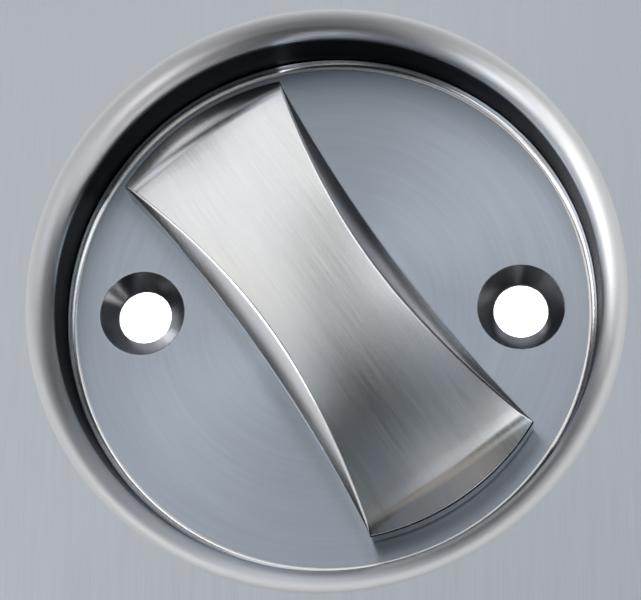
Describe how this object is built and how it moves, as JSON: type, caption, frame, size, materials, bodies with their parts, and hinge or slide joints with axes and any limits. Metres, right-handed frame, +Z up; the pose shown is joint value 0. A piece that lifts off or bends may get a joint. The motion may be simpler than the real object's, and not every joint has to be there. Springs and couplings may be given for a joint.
{
  "type": "sliding door lock",
  "caption": "Sliding door lock: square satin face plate with a round finger cup and a waisted thumb turn that swings a hooked bolt out of the door edge.",
  "frame": {"origin": "on the turn's axis at the rear face of the cup floor, midway between the two plate fixing holes", "axes": "+X towards the door's closing edge, +Y into the door (the cup opens towards -Y), +Z up"},
  "size_m": [0.0963, 0.036, 0.1099],
  "materials": {
    "satin_steel": "fine vertical brushing on the plate, fine turned rings in the cup",
    "turn_steel": "brushed along its length",
    "nylon": "smooth moulded",
    "spring_steel": "oiled spring steel",
    "zinc_steel": "bright zinc plate",
    "case_steel": "zinc plated sheet",
    "forend_steel": "brushed along its length",
    "cast_follower": "die cast, as cast",
    "hook_steel": "hardened, satin nickel",
    "brass_part": "turned brass"
  },
  "bodies": {
    "lock_body": {"face_plate": "satin_steel", "turn_bush": "nylon", "turn_washer": "nylon", "retaining_washer": "spring_steel", "disc_spring": "spring_steel", "lock_case": "case_steel", "case_cover": "case_steel", "case_pillars": "zinc_steel", "cover_screws": "zinc_steel", "forend": "forend_steel", "forend_rivets": "forend_steel", "stop_pins": "zinc_steel", "hook_pivot_pin": "zinc_steel", "hook_spacer": "brass_part", "hook_disc_spring": "spring_steel", "hook_washer": "brass_part"},
    "turn": {"turn_knob": "turn_steel", "circlip": "spring_steel", "spindle": "zinc_steel", "follower": "cast_follower", "follower_link_pin": "zinc_steel"},
    "link": {"drive_link": "zinc_steel"},
    "hook": {"hook_bolt": "hook_steel", "hook_link_pin": "zinc_steel"}
  },
  "joints": [
    {"name": "turn_rotation", "type": "hinge", "parent": "lock_body", "child": "turn", "pos_m": [0, 0, 0], "axis": [0, -1, 0], "range_deg": [-35, 55]},
    {"name": "hook_swing", "type": "hinge", "parent": "lock_body", "child": "hook", "pos_m": [0.0315, 0.0106, 0], "axis": [0, -1, 0], "range_deg": [-35, 55]},
    {"name": "link_pivot", "type": "hinge", "parent": "turn", "child": "link", "pos_m": [0.00243, 0.008, 0.01379], "axis": [0, -1, 0], "range_deg": [-55, 35]}
  ],
  "couplings": [
    {"joint": "hook_swing", "follows": "turn_rotation", "ratio": 1},
    {"joint": "link_pivot", "follows": "turn_rotation", "ratio": -1}
  ]
}
